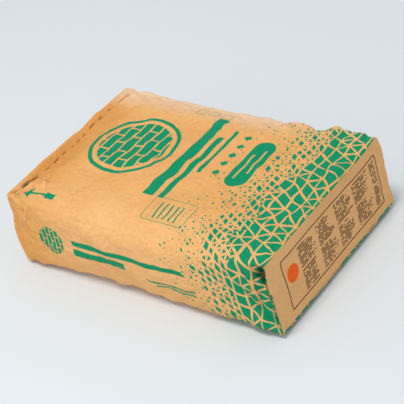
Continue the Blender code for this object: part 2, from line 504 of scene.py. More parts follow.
def end_shift(end, x, share_up):
    """How far a point of an end is moved, as x, y and z in metres."""
    near_left, near_right = ramp(-x, HALF - FADE_ACROSS, HALF), ramp(x, HALF - FADE_ACROSS, HALF)
    shift = np.zeros((len(x), 3))
    if end == "plain":
        shift[:, 0] = wander(share_up, PLAIN_RIGHT_OUT) * near_right
        shift[:, 0] -= wander(share_up, PLAIN_LEFT_OUT) * near_left
        shift[:, 2] = FOLD_WAVE * wobble(x, 21.0, 32) * ramp(share_up, 0.4, 1.0)
        shift[:, 2] -= FOLD_DROP * ramp(share_up, 0.15, 0.0)
        shift[:, 2] += CORNER_UP * ramp(x, HALF - CORNER_REACH, HALF) * ramp(share_up, 0.6, 1.0)
        return shift
    edge = np.ones(len(x))
    for rise, place, reach in RIM_HILLS:
        edge += rise * hill(x, place, reach)
    edge += RIM_WAVE * wobble(x, 4.0, 30)
    ear = ramp(x, HALF - EAR_WIDTH, HALF) * ramp(share_up, 0.88, 1.0)
    shift[:, 0] = wander(share_up, VALVE_RIGHT_OUT) * ramp(x, HALF - RIGHT_FADE, HALF)
    shift[:, 1] = wander(share_up, VALVE_LEFT_BACK) * near_left - EAR_BACK * ear
    shift[:, 2] = RIM_RISE * edge * ramp(share_up, 0.0, 1.0) ** 3 - EAR_DROP * ear
    shift[:, 2] += wander(share_up, VALVE_LEFT_DROP) * near_left
    return shift


def flap_relief(end, x, share_up):
    """The flaps' steps, a slight wave and the creases at the kinks, as metres outwards."""
    from_side = HALF - np.abs(x)
    off_middle = np.abs(share_up - 0.5) * HEIGHT
    corner = ramp(off_middle + from_side - HEIGHT / 2, SLANT_SOFT, -SLANT_SOFT)
    overlap = ramp(off_middle, *OVERLAP_EDGE)
    wave = np.array([noise.noise(Vector((a * WAVES_ACROSS, b * WAVES_UP, FLAP_SEEDS[end])))
                     for a, b in zip(x, share_up)])
    inside = ramp(from_side, 0.0, 0.02) * ramp(off_middle, HEIGHT / 2, HEIGHT / 2 - 0.015)
    relief = FLAP_STEP * (corner + overlap) * ramp(off_middle, HEIGHT / 2, HEIGHT / 2 - 0.004)
    relief += FLAP_WAVE * wave * inside
    if end == "plain":
        kink = ridge(share_up, 0.6 - 0.5 * (HALF + x), KINK_REACH) * ramp(-x, HALF - 0.040, HALF)
        crease = ridge(x, 0.054 + 0.03 * (1 - share_up), CREASE_REACH) * ramp(share_up, 0.70, 1.0)
        relief += KINK_RISE * kink
        relief -= CREASE_DEPTH * crease
    return relief


print("the rim rises", RIM_RISE / MM, "mm, the flaps show by", FLAP_STEP / MM, "mm")

# %% [markdown]
# ## Flat facets beside the folds
# Close to a folded end the paper has no room to bulge, so it runs straight from the fold to
# where the powder fills it out, and bends there in a soft ridge. Each row of points along the
# tube is pulled to the straight line between its fold and its ridge.

# %% Pull the facets straight
SIDE_FACET_VALVE, SIDE_FACET_PLAIN = 0.033, 0.022
FACET_PULL = 0.9  # 1 makes a facet quite straight
FAR_OFF = 9.0  # a distance that no point of the sack has


def straighten(distance, rows, reach):
    """Pull rows of points to the chord between the fold and a line at reach from it."""
    for value in np.unique(rows[distance < reach]):
        row = np.flatnonzero(rows == value)
        row = row[np.argsort(distance[row])]
        ends = points[row[0], 0], np.interp(reach, distance[row], points[row, 0])
        inside = row[distance[row] < reach]
        chord = np.interp(distance[inside], (0, reach), ends)
        points[inside, 0] += (chord - points[inside, 0]) * FACET_PULL


for side in (-1, 1):
    on_wall = np.abs(block[:, 0] - side * HALF) < SAME
    rows = np.where(on_wall, np.round(block[:, 2], 5), np.nan)
    for distance, reach in ((from_valve, SIDE_FACET_VALVE), (from_plain, SIDE_FACET_PLAIN)):
        straighten(np.where(on_wall, distance, FAR_OFF), rows, reach)
print("facets", SIDE_FACET_VALVE / MM, "and", SIDE_FACET_PLAIN / MM, "mm long")

# %% [markdown]
# ## The valve end's rim and valley
# Behind the valve end's upper fold the powder doesn't reach, so the top sinks to a line some
# 12 mm from the fold, and the fold stands up behind it as a rim. The line is a sharp crease
# that opens here and there into a dark slit, most of all near the valve, where the filled
# part puckers over it.

# %% Sculpt the rim and the valley
# pairs of place round the tube and, for the line, its distance from the fold, or its depth
LINE_TABLE = (
    (-156, 1.5), (-131, 8.4), (-110, 9.8), (-91, 10.2), (-63, 10.8), (-43, 9.8), (-29, 9.4),
    (-8, 11.2), (6, 10.8), (21, 8.8), (37, 8.3), (52, 8.4), (66, 10.2), (78, 9.0), (92, 8.2),
    (107, 9.6), (144, 11), (156, 11))
DEPTH_TABLE = ((-156, 3.0), (-131, 5.6), (-98, 6.7), (0, 6.4), (50, 5.2), (110, 4.2), (156, 3.6))
SLITS = (  # middle, half length, depth and half width, in mm
    (-140, 14, 3.4, 1.5), (-119, 13, 10.0, 4.4), (-105, 16, 8.0, 3.0), (-72, 8, 2.6, 1.4),
    (-50, 8.5, 5.0, 1.6), (-29, 4.5, 4.2, 1.6), (-10, 4, 3.4, 1.5), (5, 4.5, 4.4, 1.6),
    (21, 4, 3.4, 1.5), (44, 9, 6.0, 1.7), (64, 5, 6.4, 1.9), (90, 4.5, 4.4, 1.5),
    (126, 21, 3.8, 1.3))
VALVE_FADE, PLAIN_FADE = 0.022, 0.016  # how far an end's shift reaches along the tube
VALLEY_TAIL = 0.016  # behind the line the valley rises again over about this
IN_EDGE, PAST_EDGE = 0.006, 0.012  # it fades from this far in the long edge to this far past it
SLIT_BACK = 0.0003  # a slit lies this much nearer the fold for each mm of its half width
DARK_DEPTH = 5.0  # a slit of this many mm gets the full painted shade
LIP_OFF, LIP_REACH, LIP_LONGER = 0.0032, 0.006, 5  # a lip stands up behind each slit,
LIP_BACK, LIP_UP, LIP_DEPTH = 0.00020, 0.00018, 4.5  # by this for each mm that the slit is deep

x, share = block[:, 0], (block[:, 2] - LIFT) / HEIGHT
points += end_shift("valve", x, share) * ramp(from_valve, VALVE_FADE, 0.0)[:, None]
points += end_shift("plain", x, share) * ramp(from_plain, PLAIN_FADE, 0.0)[:, None]
line = np.interp(round_tube * 1000, *zip(*LINE_TABLE)) / 1000
line_depth = np.interp(round_tube * 1000, *zip(*DEPTH_TABLE)) / 1000
on_top = ramp(np.abs(round_tube), HALF + PAST_EDGE, HALF - IN_EDGE)
behind = np.exp(-(from_valve - line) / VALLEY_TAIL)
slope = np.where(from_valve < line, np.clip(from_valve / line, 0, 1), behind)
sink = line_depth * slope * on_top
fold_shade = np.zeros(len(points))
for place, reach, depth, half_width in SLITS:
    slit = hill(round_tube * 1000, place, reach) * on_top
    off_middle = np.abs(from_valve - line + SLIT_BACK * half_width) * 1000
    slit *= np.clip(1 - off_middle / half_width, 0, 1)
    sink += slit * depth * MM
    fold_shade = np.maximum(fold_shade, np.clip(slit * depth / DARK_DEPTH, 0, 1))
points[:, 2] -= sink * on_tube
for place, reach, depth, half_width in SLITS:
    lip = hill(round_tube * 1000, place, reach + LIP_LONGER)
    lip *= ridge(from_valve, line + LIP_OFF, LIP_REACH) * on_top * on_tube
    points[:, 1] += lip * min(depth, LIP_DEPTH) * LIP_BACK
    points[:, 2] += lip * depth * LIP_UP
print("line sinks up to", max(depth for _, depth in DEPTH_TABLE), "mm")

# %% [markdown]
# ## Tucks
# The side walls draw in right behind both folds, so the corners of the rectangles stand out
# like ears. A table for each tuck gives its depth at some places down the wall.

# %% Sculpt the tucks
# distance down from the fold round the tube, and depth, in mm
TUCKS = {"near left": ((0, 0), (4, 3.0), (10, 9.5), (24, 10.5), (36, 7.0), (50, 4.5), (75, 3.5),
                       (100, 2.5), (112, 0)),
         "near right": ((0, 0), (8, 4.0), (30, 5.5), (70, 4.0), (112, 0)),
         "valve left": ((0, 0), (10, 1.8), (40, 2.6), (80, 2.4), (112, 0)),
         "valve right": ((0, 0), (8, 3.0), (40, 4.2), (80, 3.0), (112, 0))}
TUCK_MIDDLE, TUCK_END = 0.009, 0.023  # deepest and ended this far from the fold

u, v = round_tube / MM, block[:, 1] / MM
down = np.abs(u) - HALF / MM
for name, table in TUCKS.items():
    end, side = name.split()
    distance = from_plain if end == "near" else from_valve
    folded_in = np.minimum(distance / TUCK_MIDDLE, (TUCK_END - distance) / (TUCK_END - TUCK_MIDDLE))
    depth = np.interp(down, *zip(*table), left=0, right=0) * np.clip(folded_in, 0, 1)
    here = on_tube & (u < 0 if side == "left" else u > 0)
    points[here, 0] -= np.sign(u[here]) * depth[here] * MM
print(len(TUCKS), "tucks, up to", max(depth for table in TUCKS.values() for _, depth in table), "mm deep")

# %% [markdown]
# ## How dark the folds lie
# Light hardly gets into a deep tuck, and less of it into the valley. The lamps alone don't show
# that well enough, so this step notes for each point how dark it lies, and the material reads
# the notes later.

# %% Note the shade of the folds
TUCK_SHADE, TUCK_DEEPEST, TUCK_REACH = 1.8, 20, 30  # strongest 20 mm below the fold
TUCK_FROM, TUCK_LONG, DARKEST = 0.006, 0.019, 0.86
EDGE_SHADE, EDGE_LONG = 0.5, 0.006  # a narrow shade along the rest of the plain end's left fold,
EDGE_STARTS, EDGE_STOPS = (4, 16), (108, 84)  # which fades in and out over these mm down the wall
VALLEY_SHADE = 0.10  # less light comes into the valley behind the rim,
VALLEY_END = (  # which ends this far from the fold: place round the tube, mm
    (-118, 0), (-100, 32), (-60, 80), (30, 76), (90, 56), (116, 0))
LINE_SOFT = 0.004

left_wall = on_tube & (u < 0) & (down > 0)
tuck_fade = 1 - (from_plain - TUCK_FROM) / TUCK_LONG - np.abs(down - TUCK_DEEPEST) / TUCK_REACH
deep = np.clip(TUCK_SHADE * tuck_fade, 0, DARKEST)
edge_shade = EDGE_SHADE * np.clip(1.7 - from_plain / EDGE_LONG, 0, 1)
edge_shade *= ramp(down, *EDGE_STARTS) * ramp(down, *EDGE_STOPS)
fold_shade = np.maximum(fold_shade, np.maximum(deep, edge_shade) * left_wall)
valley_end = np.interp(u, *zip(*VALLEY_END)) * MM
valley_shade = VALLEY_SHADE * ramp(from_valve, valley_end, line) * (valley_end > line)
valley_shade *= ramp(from_valve, line - LINE_SOFT, line) * on_top * on_tube
fold_shade = np.maximum(fold_shade, valley_shade)
print(int((fold_shade > 0.5).sum()), "points lie in deep shade")

# %% [markdown]
# ## Dents
# Handling has left dents along the long edges. Each is a round place on the sheet that rises
# or sinks softly. Behind the plain end's upper fold the filling stands up in a low shoulder.

# %% Sculpt the dents
DENTS = (  # middle on the sheet, reach along each way, rise, in mm
    (160, -214, 12, 10, -0.8), (158, 211, 17, 12, -4.5), (150, -130, 28, 24, -6.5),
    (165, -158, 20, 12, 2.6), (152, 110, 48, 120, -4.2), (-250, 20, 48, 150, -3.6),
    (-110, 193, 20, 17, 3.2), (-126, 199, 16, 12, 1.6), (-158, 60, 22, 30, -1.8),
    (-160, -60, 24, 26, -1.5), (158, 20, 20, 16, -2.0), (160, -40, 22, 20, 1.2),
    (-262, -200, 24, 30, 1.5), (60, -205, 30, 10, 1.0), (-205, 210, 40, 13, -2.2),
    (-186, -196, 22, 9, 1.6), (-60, 20, 60, 50, 0.9), (70, 60, 60, 60, -0.9),
    (153, -45, 36, 110, -1.6), (150, 24, 24, 50, -3.6), (140, -84, 24, 14, 2.2),
    (130, -34, 34, 60, -2.4), (130, 0, 34, 28, -2.4), (130, -66, 30, 14, -2.2),
    (135, -110, 26, 24, -2.8), (-263, 42, 30, 40, 3.4), (-263, -78, 30, 58, -1.8),
    (-265, -206, 24, 24, 2.4))
SHOULDER, SHOULDER_AT, SHOULDER_END = 0.0034, 0.0095, 0.055
SHOULDER_IN, SHOULDER_WHOLE = 4, 26  # it starts and is whole this many mm from the long edges

dents = sum(rise * np.clip(1 - np.hypot((u - a) / reach_u, (v - b) / reach_v) ** 2, 0, 1) ** 2
            for a, b, reach_u, reach_v, rise in DENTS)
push(dents * MM * on_tube)
shoulder_reach = np.where(from_plain < SHOULDER_AT, SHOULDER_AT, SHOULDER_END)
shoulder = ridge(from_plain, SHOULDER_AT, shoulder_reach)
shoulder *= ramp(np.abs(u), HALF / MM - SHOULDER_IN, HALF / MM - SHOULDER_WHOLE)
shoulder *= block[:, 2] > TOP - SAME
points[:, 2] += SHOULDER * shoulder * on_tube
print(len(DENTS), "dents")

# %% [markdown]
# ## Creases
# A crease is a line on the sheet with a rise and a reach, and it stays sharp along its middle.
# The table holds those that show where the sack was folded hard: the pleats that fan out from
# the valve corner, the long crease that the flat sack had along its side, and the folds at the
# plain end.

# %% Table of the creases
CREASES = [  # rise and reach, and the places that it passes, in mm on the sheet
    (2.6, 7.0, (-151, 219), (-166, 200)), (-2.0, 6.0, (-143, 214), (-158, 190)),
    (1.9, 7.0, (-139, 214), (-160, 187), (-187, 198)),
    (2.4, 6.0, (-157, 222), (-187, 199), (-203, 186)), (-2.0, 5.0, (-162, 220), (-186, 208)),
    (1.6, 5.0, (-165, 221), (-200, 212)), (2.9, 5.5, (-87, 201), (-119, 183)),
    (-1.5, 5.5, (-96, 203), (-124, 188)), (1.6, 5.0, (-113, 192), (-121, 197)),
    (1.6, 6.0, (-78, 103), (-94, 107), (-125, 119)), (1.6, 6.0, (-98, 88), (-116, 110), (-133, 115)),
    (1.5, 7.0, (-135, 112), (-157, 95)), (1.4, 8.0, (-90, 190), (-70, 150)),
    (-1.4, 6.0, (-128, 196), (-112, 168), (-104, 140)), (1.5, 6.0, (-138, 176), (-120, 150)),
    (-1.3, 7.0, (-60, 196), (-52, 172)),
    (-1.1, 4.0, (-220, 226), (-221, 192), (-226, 167), (-226, 113), (-228, 30)),
    (0.7, 8.0, (-216, 192), (-220, 167), (-220, 60)), (1.6, 6.5, (-207, 186), (-244, 198), (-266, 222)),
    (1.3, 6.5, (-250, 201), (-247, 180), (-259, 161)), (1.6, 6.0, (81, -180), (52, -217)),
    (-1.5, 5.0, (76, -182), (47, -214)), (1.4, 6.0, (144, 212), (121, 172)),
    (-1.3, 6.0, (136, 212), (111, 176)), (0.9, 8.0, (150, -205), (120, -170)),
    (-0.8, 3.0, (400, -215), (400, 215)), (-2.2, 6.5, (-162, -206), (-193, -206), (-226, -207)),
    (1.1, 5.0, (-178, -198), (-226, -200)), (-1.8, 7.0, (-170, -188), (-190, -197)),
    (-1.2, 6.0, (-207, -190), (-240, -186)), (0.9, 7.0, (-60, -200), (-95, -170)),
    (-0.8, 7.0, (10, -205), (35, -170)), (0.9, 9.0, (-150, -120), (-110, -150))]
print(len(CREASES), "creases, placed one by one")

# %% [markdown]
# ## Seeded creases
# Random ones fill in the rest: seven fan out from each corner, and thirty cross the two long
# upper edges. A generator with a fixed seed draws the same ones on each run.

# %% Draw the other creases
PER_CORNER, ACROSS_EDGES = 7, 30
# each measure is drawn between two numbers, in mm
CORNER_RISE, CORNER_WIDTH, CORNER_FIRST, CORNER_LAST = (-1.8, 1.8), (5, 9), (16, 26), (34, 80)
EDGE_RISE, EDGE_WIDTH, EDGE_HALF, EDGE_SLANT, OFF_EDGE = (-1.1, 0.9), (4, 9), (10, 26), (-10, 10), (-8, 8)
random_places = np.random.default_rng(11)
draw = random_places.uniform
for corner_u in (-HALF / MM, HALF / MM, HALF / MM + HEIGHT / MM, -HALF / MM - HEIGHT / MM):
    for corner_v in (-LENGTH / 2 / MM, LENGTH / 2 / MM):
        for angle in draw(0.1, math.pi - 0.1, PER_CORNER):
            first, last = draw(*CORNER_FIRST), draw(*CORNER_LAST)
            step_u, step_v = math.cos(angle), -math.copysign(math.sin(angle), corner_v)
            CREASES.append((draw(*CORNER_RISE), draw(*CORNER_WIDTH),
                            (corner_u + step_u * first, corner_v + step_v * first),
                            (corner_u + step_u * last, corner_v + step_v * last)))
for place in draw(-170, 170, ACROSS_EDGES):
    edge = random_places.choice((-HALF / MM, HALF / MM)) + draw(*OFF_EDGE)
    length, slant = draw(*EDGE_HALF), draw(*EDGE_SLANT)
    CREASES.append((draw(*EDGE_RISE), draw(*EDGE_WIDTH),
                    (edge - length, place - slant), (edge + length, place + slant)))
print(len(CREASES), "creases with the random ones")

# %% [markdown]
# ## How high the creases stand
# A point's distance to a crease is the distance to the nearest of its straight parts. The
# heights of all creases are added up here, and the next step moves the points.

# %% Measure the creases
CREASE_SHADE, CREASE_WEAR_AND_HIGHLIGHT = 0.22, 0.36
SHADED_RISE = -1.5  # a crease that sinks deeper than this is shaded
WORN_HIGHLIGHT_CREASES, WORN_HIGHLIGHT_MM = 9, 2.4  # the first ones of the table, at the valve, have pale worn ridges with a painted highlight
NOWHERE = 999.0  # mm, further than any crease reaches

relief, crease_wear_and_highlight = np.zeros(len(points)), np.zeros(len(points))
for number, (rise, reach, *stops) in enumerate(CREASES):
    nearest = np.full(len(points), NOWHERE)
    for (u1, v1), (u2, v2) in zip(stops, stops[1:]):
        long_u, long_v = u2 - u1, v2 - v1
        along = ((u - u1) * long_u + (v - v1) * long_v) / (long_u ** 2 + long_v ** 2)
        along = np.clip(along, 0, 1)
        nearest = np.minimum(nearest, np.hypot(u - u1 - along * long_u, v - v1 - along * long_v))
    crease = np.clip(1 - nearest / reach, 0, 1) ** 1.4
    relief += rise * crease
    if rise < SHADED_RISE:
        fold_shade = np.maximum(fold_shade, CREASE_SHADE * crease * on_tube)
    # a ridge is worn pale, which also paints a highlight on it
    elif rise > 0 and number < WORN_HIGHLIGHT_CREASES:
        worn = np.clip(1 - nearest / WORN_HIGHLIGHT_MM, 0, 1)
        crease_wear_and_highlight = np.maximum(crease_wear_and_highlight, CREASE_WEAR_AND_HIGHLIGHT * worn * on_tube)
print("creases from", relief.min().round(2), "to", relief.max().round(2), "mm")

# %% [markdown]
# ## Crumpled paper
# Stiff paper doesn't dent softly: it breaks into flat facets that meet in straight lines. A
# zigzag wave gives such lines. Several zigzags in different directions are added up, each one
# bent a little and faded in and out by noise, so that no pattern shows.

# %% Crumple the paper
ZIGZAGS = (  # spacing and height in mm, direction in degrees
    (72, 1.25, 22), (58, 1.15, 76), (47, 1.0, 121), (64, 1.25, 163), (31, 0.6, 38),
    (26, 0.55, 97), (29, 0.6, 142), (20, 0.34, 8), (17, 0.3, 63), (18, 0.32, 118))
ZIGZAG_BEND, FADE_SIZE = 1.2, 1.7  # how far noise bends the lines, and its size, in spacings
HELD = 0.004  # the paper beside a fold can't move over this length
PATCHY = -0.1, 0.35  # noise below the first hides a zigzag, and above the second shows it all
# crumples come up between these distances from the folds and, in mm, round the tube at its back
CALM_VALVE, CALM_PLAIN, CALM_BACK = (0.011, 0.030), (0.008, 0.024), (420, 395)


def soft_noise(size, seed):
    """A seeded, smooth random value for each point, which changes over size millimetres."""
    return np.array([noise.noise(Vector((a / size, b / size, seed))) for a, b in zip(u, v)])


calm = ramp(from_valve, *CALM_VALVE) * ramp(from_plain, *CALM_PLAIN) * ramp(np.abs(u), *CALM_BACK)
for number, (spacing, height, degrees) in enumerate(ZIGZAGS):
    angle = math.radians(degrees)
    phase = (u * math.cos(angle) + v * math.sin(angle)) / spacing
    phase += ZIGZAG_BEND * soft_noise(3 * spacing, number)
    zigzag = 4 * np.abs(phase % 1 - 0.5) - 1
    shown = ramp(soft_noise(FADE_SIZE * spacing, number + 20.5), *PATCHY)
    relief += height * zigzag * shown * calm
push(relief * MM * ramp(from_plain, 0.0, HELD) * ramp(from_valve, 0.0, HELD) * on_tube)
for end, on_end in (("plain", on_plain_end), ("valve", on_valve_end)):
    points[on_end] += flap_relief(end, x[on_end], share[on_end])[:, None] * OUTWARD[end]
points[:, 2] = np.maximum(points[:, 2], 0.0)
print("relief from", relief.min().round(2), "to", relief.max().round(2), "mm")

# %% [markdown]
# ## Hand the points back
# The sack now stands for two solids, the paper and the powder that shapes it. It rides on the
# part's one body.

# %% Finish the sack's mesh
mesh.attributes.new("fold_shade", "FLOAT", "POINT").data.foreach_set("value", fold_shade)
mesh.attributes.new("crease_wear_and_highlight", "FLOAT", "POINT").data.foreach_set("value", crease_wear_and_highlight)
mesh.vertices.foreach_set("co", points.ravel())
mesh.update()
select_only(sack)
bpy.ops.object.shade_smooth_by_angle(angle=math.radians(50))
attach(sack, "root")
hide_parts("paper_sack", "cement_fill")
print("sack spans", points.min(0).round(4), points.max(0).round(4))

# %% [markdown]
# ## The cover sheets
# A sheet of kraft paper is pasted over each folded end. It is cut a little smaller than the
# end, and lies on every step below it. A grid is shaped by the same functions as the end, a
# hair further out, and Solidify gives it the thickness of paper.

# %% Paste on the covers
COVER_PAPER, COVER_GAP, COVER_CELL = 0.0005, 0.0002, 0.0022
COVER_WIDTH = WIDTH - 2 * COVER_MARGIN
COVER_HEIGHT = HEIGHT - 2 * COVER_MARGIN
COVER_LIFT = 0.0030  # the printed sack shows below the plain end's cover


def map_sheet(piece, across, up):
    """Give each corner its place on the sheet, from the places of the points in metres."""
    sheet = piece.data.uv_layers.active
    sheet.name = "sheet"
    for loop in piece.data.loops:
        i = loop.vertex_index
        sheet.data[loop.index].uv = (across[i] + U_MIDDLE, up[i] + V_MIDDLE)


def thicken(piece, thickness, offset, smooth_degrees):
    """Give a sheet the thickness of its paper and shade it smooth."""
    paper = piece.modifiers.new("paper", "SOLIDIFY")
    paper.thickness, paper.offset = thickness, offset
    select_only(piece)
    bpy.ops.object.modifier_apply(modifier=paper.name)
    bpy.ops.object.shade_smooth_by_angle(angle=math.radians(smooth_degrees))


def add_cover(name, end, node):
    """A cover sheet that follows every bend of its end and stands for the CAD node."""
    deselect_all()
    bpy.ops.mesh.primitive_grid_add(x_subdivisions=round(COVER_WIDTH / COVER_CELL),
                                    y_subdivisions=round(COVER_HEIGHT / COVER_CELL),
                                    size=1.0, location=(0, 0, 0))
    cover = bpy.context.object
    cover.name = name
    flat = coordinates(cover.data)
    x = flat[:, 0] * COVER_WIDTH
    low = (COVER_MARGIN + (COVER_LIFT if end == "plain" else 0.0)) / HEIGHT
    share = low + (flat[:, 1] + 0.5) * (1 - COVER_MARGIN / HEIGHT - low)
    sign = -1 if end == "plain" else 1
    spots = np.column_stack((x, np.full(len(x), sign * LENGTH / 2), LIFT + share * HEIGHT))
    if end == "plain":
        spots[:, 1] += PLAIN_END_LEAN * share
    spots += end_shift(end, x * WIDTH / COVER_WIDTH, share)
    spots += (flap_relief(end, x, share) + COVER_GAP)[:, None] * OUTWARD[end]
    cover.data.vertices.foreach_set("co", spots.ravel())
    map_sheet(cover, x, (share - 0.5) * HEIGHT)
    select_only(cover)
    bpy.ops.object.mode_set(mode="EDIT")
    bpy.ops.mesh.select_all(action="SELECT")
    bpy.ops.mesh.normals_make_consistent(inside=False)
    bpy.ops.object.mode_set(mode="OBJECT")
    if Vector(OUTWARD[end]).dot(cover.data.polygons[0].normal) < 0:
        cover.data.flip_normals()
    thicken(cover, COVER_PAPER, 1.0, 35)
    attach(cover, "root")
    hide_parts(node)
    print(name, len(cover.data.polygons) * 2, "triangles")
    return cover


plain_cover = add_cover("plain_end_cover", "plain", "bottom_cover_patch")
valve_cover = add_cover("valve_end_cover", "valve", "valve_cover_patch")

# %% [markdown]
# ## The valve sleeve
# The sack is filled through a paper sleeve that lies flat between the end's layers, behind the
# cover sheet, with its mouth at the left corner. The filling presses it shut. It starts as an
# open cylinder, is pressed nearly flat in edit mode, and is cut across so that it can follow
# the bends of the end as the cover does.

# %% Slide in the valve sleeve
SLEEVE_THICKNESS, SLEEVE_PAPER = 0.0019, 0.0004
SLEEVE_SIDES, SLEEVE_CUTS = 40, 15
MOUTH_IN = 0.0006  # the side wall draws in this far where the mouth is
sleeve_low, sleeve_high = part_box("valve_sleeve")

deselect_all()
size = sleeve_high - sleeve_low
middle = (sleeve_high + sleeve_low) / 2
bpy.ops.mesh.primitive_cylinder_add(vertices=SLEEVE_SIDES, radius=size.z / 2, depth=size.x,
                                    end_fill_type="NOTHING", location=middle,
                                    rotation=(0, math.pi / 2, 0))
sleeve = bpy.context.object
sleeve.name = "valve_paper_sleeve"
bpy.ops.object.transform_apply(location=True, rotation=True, scale=True)
bpy.ops.object.mode_set(mode="EDIT")
bpy.ops.mesh.select_all(action="SELECT")
bpy.ops.transform.resize(value=(1, SLEEVE_THICKNESS / size.z, 1), center_override=middle)
for cut in evenly(sleeve_low.x, sleeve_high.x, size.x / SLEEVE_CUTS)[1:-1]:
    bpy.ops.mesh.select_all(action="SELECT")
    bpy.ops.mesh.bisect(plane_co=(cut, 0, 0), plane_no=(1, 0, 0))
bpy.ops.mesh.select_all(action="SELECT")
bpy.ops.mesh.normals_make_consistent(inside=False)
bpy.ops.object.mode_set(mode="OBJECT")
tube = coordinates(sleeve.data)
tube[:, 0] = np.maximum(tube[:, 0], MOUTH_IN - HALF)
tube_share = (tube[:, 2] - LIFT) / HEIGHT
tube_relief = flap_relief("valve", tube[:, 0], tube_share)[:, None] * OUTWARD["valve"]
tube += end_shift("valve", tube[:, 0].clip(-HALF, HALF), tube_share) + tube_relief
sleeve.data.vertices.foreach_set("co", tube.ravel())
map_sheet(sleeve, tube[:, 0], tube[:, 2])
thicken(sleeve, SLEEVE_PAPER, -1.0, 50)
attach(sleeve, "root")
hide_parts("valve_sleeve")
print("sleeve", len(sleeve.data.polygons) * 2, "triangles, normals outwards:",
      Vector(sleeve.data.polygons[0].center - middle).dot(sleeve.data.polygons[0].normal) > 0)

# %% [markdown]
# ## Kraft paper
# Sack kraft is unbleached paper of long softwood fibres, pressed and dried but not coated. It
# is matt and warm brown. Its fibres lie in clouds a few millimetres across, finer streaks run
# along the web, and a broad mottle lies over both. A noise texture's scale is the number of
# its features in a metre here, because the sheet map counts in metres.

# %% Kraft paper
# the last colour is the pale of worn folds, and the painted highlight on sharp creases
KRAFT_LIGHT, KRAFT_DARK, KRAFT_WORN_AND_HIGHLIGHT = linear("#f3bb7f"), linear("#e4a968"), linear("#f8cd9a")
CLOUD_MM, STREAK_MM, BROAD_SCALE = 5.0, 1.6, 14.0
CLOUD_SHARE, STREAK_SHARE, BROAD_SHARE = 0.5, 0.25, 0.5  # of the mottle
CLOUD_RISE, STREAK_RISE = 0.014, 0.02  # in mm
ALONG_WEB = 0.18  # places along the web count this much, which draws out the streaks
MOTTLE_RANGE = 0.45, 0.8  # of the mottle, from the darkest paper to the lightest
NO_VALUES = [None] * 5  # a Mix node's sockets for numbers, before those for colours


def add_fibres(add, light, dark):
    """The place on the sheet, the paper's colour, its height in mm and its broad mottle."""
    place = add("UVMap", uv_map="sheet")
    clouds = add("TexNoise", place, None, 1000 / CLOUD_MM, 4.0, 0.6)
    web = add("VectorMath.MULTIPLY", place, (1.0, ALONG_WEB, 1.0))
    streaks = add("TexNoise", web, None, 1000 / STREAK_MM, 2.0, 0.5)
    broad = add("TexNoise", place, None, BROAD_SCALE, 3.0, 0.5)
    mottle = add("Math.MULTIPLY", streaks, STREAK_SHARE)
    mottle = add("Math.MULTIPLY_ADD", clouds, CLOUD_SHARE, mottle)
    mottle = add("Math.MULTIPLY_ADD", broad, BROAD_SHARE, mottle)
    spread = add("MapRange", mottle, *MOTTLE_RANGE, 0.0, 1.0)
    colour = add("Mix", spread, *NO_VALUES, dark, light, data_type="RGBA", out=2)
    height = add("Math.MULTIPLY", streaks, STREAK_RISE)
    height = add("Math.MULTIPLY_ADD", clouds, CLOUD_RISE, height)
    return place, colour, height, broad


print("fibre clouds", CLOUD_MM, "mm, streaks", STREAK_MM, "mm")

# %% [markdown]
# ## Soft folds in the paper
# Handling leaves nets of soft folds, and the web's drying leaves ripples across it. Both are
# too fine for the mesh, so they are bump: a height in the material that only turns the light.
# A fold is a line between Voronoi cells, shown in some places only and worn a little paler.

# %% Soft folds in the paper
FOLD_NETS = ((52, 0.42, 3.4), (21, 0.16, 2.4))  # cell size, depth and width of the folds in mm
FOLD_WEAR = 0.08
# the noise over a net: its scale for cells of 1 mm, and from where to where the folds come up
FOLD_PATCHES, PATCH_RANGE = 560, (0.49, 0.63)
BEND_SCALE, BEND_REACH = 30.0, 0.014  # noise bends all lines by this many metres
RIPPLE_MM, RIPPLE_ALONG, RIPPLE_RISE = 4.5, 16.0, 0.22
RIPPLE_RANGE = 0.50, 0.62  # of the broad mottle, from where to where the ripples come up


def add_kraft(add, light, dark):
    """The paper's place on its sheet, its colour, and its height in mm, as three sockets."""
    place, colour, height, broad = add_fibres(add, light, dark)
    bend = add("TexNoise", place, None, BEND_SCALE, 2.0, 0.5, out="Color")
    bend = add("VectorMath.MULTIPLY_ADD", bend, (BEND_REACH, BEND_REACH, 0.0), place)
    for cell, depth, width in FOLD_NETS:
        net = add("TexVoronoi", bend, None, 1000 / cell, feature="DISTANCE_TO_EDGE")
        fold = add("MapRange", net, 0.0, width / cell, 1.0, 0.0, interpolation_type="SMOOTHSTEP")
        some = add("TexNoise", bend, None, FOLD_PATCHES / cell, 1.0, 0.5)
        some = add("MapRange", some, *PATCH_RANGE, 0.0, 1.0)
        fold = add("Math.MULTIPLY", fold, some)
        height = add("Math.MULTIPLY_ADD", fold, -depth, height)
        worn = add("Math.MULTIPLY", fold, FOLD_WEAR)
        colour = add("Mix", worn, *NO_VALUES, colour, KRAFT_WORN_AND_HIGHLIGHT, data_type="RGBA", out=2)
    slant = 0.7 / RIPPLE_MM * 1000
    across = add("VectorMath.DOT_PRODUCT", bend, (slant, slant, 0), out="Value")
    along = add("VectorMath.DOT_PRODUCT", bend, (RIPPLE_ALONG, -RIPPLE_ALONG, 0), out="Value")
    turned = add("CombineXYZ", across, along)
    ripples = add("TexNoise", turned, None, 1.0, 0.0)
    some = add("MapRange", broad, *RIPPLE_RANGE, 0.0, RIPPLE_RISE)
    height = add("Math.MULTIPLY_ADD", ripples, some, height)
    return place, colour, height


def finish_paper(piece, material, shader, colour, height):
    """Give the shader its colour and bump, and the piece its material."""
    tree = material.node_tree
    normal = add_node(tree, "Bump", 1.0, MM, None, height)
    tree.links.new(colour, shader.inputs["Base Color"])
    tree.links.new(normal, shader.inputs["Normal"])
    piece.data.materials.append(material)
    print(material.name, len(tree.nodes), "nodes")


